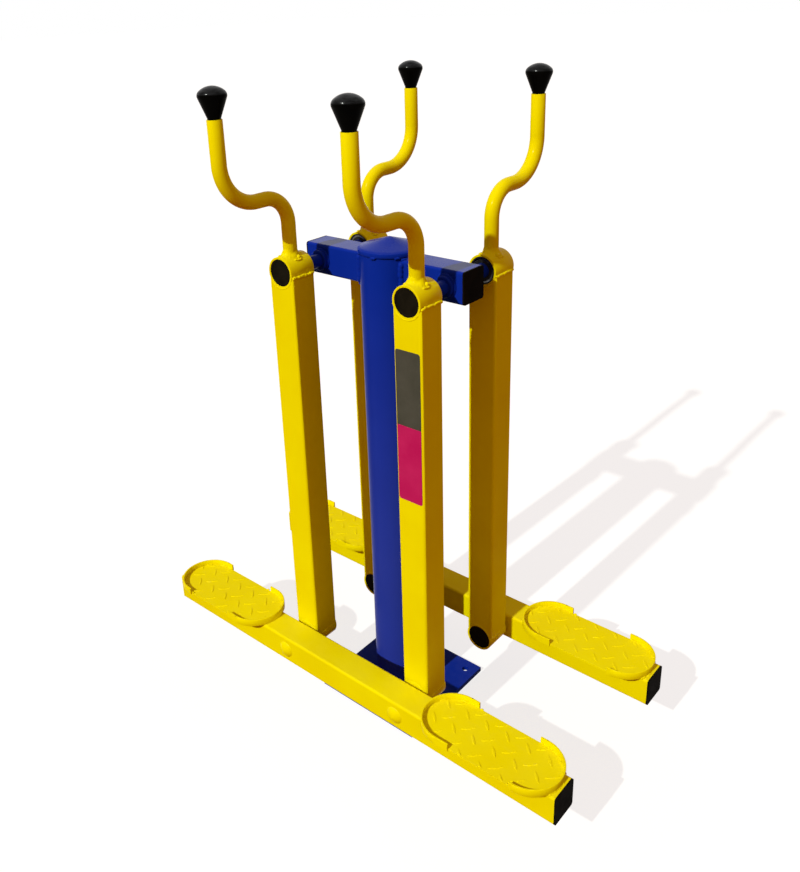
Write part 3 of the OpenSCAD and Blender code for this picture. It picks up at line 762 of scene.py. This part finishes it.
WHITE = rgb(1.0, 1.0, 1.0)
FLOOR_HALF, FLOOR_Z = 40, -0.0004
FLOOR_GLOW = 0.77                         # with the sun's light it makes the floor white
FILL_COLOUR = rgb(1.0, 0.66, 0.56)
FILL_LEFT, FILL_RIGHT = 0.370, 0.500
SUN_ENERGY, SUN_COLOUR = 3.10, (0.96, 1.0, 0.93)
SUN_WIDTH, SUN_SIDE, SUN_HEIGHT = (math.radians(v) for v in (0.9, 2.1, 39.3))


def shown(g):
    """1 where a ray comes from the camera, a reflection or glass, 0 where it only lights."""
    ray = g.add("LightPath").outputs
    seen = g.most(ray["Is Camera Ray"], ray["Is Glossy Ray"])
    return g.most(seen, ray["Is Transmission Ray"])


def floor_material():
    """White with the object's shadow where it is seen, and a warm ground where it lights."""
    material, g = new_graph("floor_look")
    mottle = g.span(g.noise(0.8, 4.0), 0.3, 0.7)
    mottled = g.mix(mottle, rgb(0.285, 0.285, 0.285), rgb(0.300, 0.299, 0.297))
    diffuse = g.add("BsdfDiffuse", {"Color": mottled}).outputs["BSDF"]
    glow = g.add("Emission", {"Color": WHITE, "Strength": FLOOR_GLOW}).outputs["Emission"]
    pale = g.add("AddShader", {0: diffuse, 1: glow}).outputs["Shader"]
    earth = g.span(g.noise(1.5, 4.0), 0.3, 0.7)
    ground = g.mix(earth, rgb(0.240, 0.046, 0.018), rgb(0.270, 0.056, 0.022))
    bounce = g.add("BsdfDiffuse", {"Color": ground}).outputs["BSDF"]
    g.surface(g.add("MixShader", {0: shown(g), 1: bounce, 2: pale}).outputs["Shader"])
    return material


corners = [(x * FLOOR_HALF, y * FLOOR_HALF, FLOOR_Z)
           for x, y in ((-1, -1), (1, -1), (1, 1), (-1, 1))]
floor = new_mesh_object("floor", corners, [(0, 1, 2, 3)], floor_material())

# a white surround where it is seen, and a warm fill, stronger from the right, where it lights
world = bpy.data.worlds.new("studio")
bpy.context.scene.world = world
g = Graph(world)
strength = g.span(g.axis(g.places["Generated"], "X"), -1.0, 1.0, FILL_LEFT, FILL_RIGHT)
fill = g.add("Background", {"Color": FILL_COLOUR, "Strength": strength}).outputs[0]
white = g.add("Background", {"Color": WHITE, "Strength": 1.0}).outputs[0]
choose = g.add("MixShader", {0: shown(g), 1: fill, 2: white}).outputs[0]
g.add("OutputWorld", {"Surface": choose})

key = bpy.data.lights.new("key", "SUN")
key.energy, key.angle, key.color = SUN_ENERGY, SUN_WIDTH, SUN_COLOUR
lamp = new_object("key", key)
toward = Vector((-math.sin(SUN_SIDE) * math.cos(SUN_HEIGHT),
                 -math.cos(SUN_SIDE) * math.cos(SUN_HEIGHT), math.sin(SUN_HEIGHT)))
lamp.rotation_mode = "QUATERNION"
lamp.rotation_quaternion = toward.to_track_quat("Z", "Y")


# ---------------------------------------------------------------- camera

# fitted to points of the photograph: place, turn, focal length and picture centre
PHOTO_WIDTH, PHOTO_HEIGHT = 800, 872
CAMERA_PLACE = (1.03745, -1.22338, 1.43754)
AZIMUTH, PITCH, ROLL = (math.radians(v) for v in (41.903, 21.408, -2.350))
FOCAL_PX = 896.24
CENTRE_PX = (369.33, 343.54)
SENSOR_MM = 36.0

ahead = Vector((-math.sin(AZIMUTH) * math.cos(PITCH), math.cos(AZIMUTH) * math.cos(PITCH),
                -math.sin(PITCH)))
right = Vector((math.cos(AZIMUTH), math.sin(AZIMUTH), 0.0))
up = right.cross(ahead)
right, up = (right * math.cos(ROLL) + up * math.sin(ROLL),
             up * math.cos(ROLL) - right * math.sin(ROLL))
camera_data = bpy.data.cameras.new("camera")
camera = new_object("camera", camera_data)
turn = Matrix((right, up, -ahead)).transposed().to_4x4()
camera.matrix_world = Matrix.Translation(CAMERA_PLACE) @ turn
camera_data.sensor_fit = "AUTO"
camera_data.sensor_width = SENSOR_MM
camera_data.lens = FOCAL_PX * SENSOR_MM / PHOTO_HEIGHT
camera_data.shift_x = (PHOTO_WIDTH / 2 - CENTRE_PX[0]) / PHOTO_HEIGHT
camera_data.shift_y = (CENTRE_PX[1] - PHOTO_HEIGHT / 2) / PHOTO_HEIGHT
camera_data.clip_start, camera_data.clip_end = 0.05, 200.0
bpy.context.scene.camera = camera
bpy.context.scene.view_settings.view_transform = "Standard"
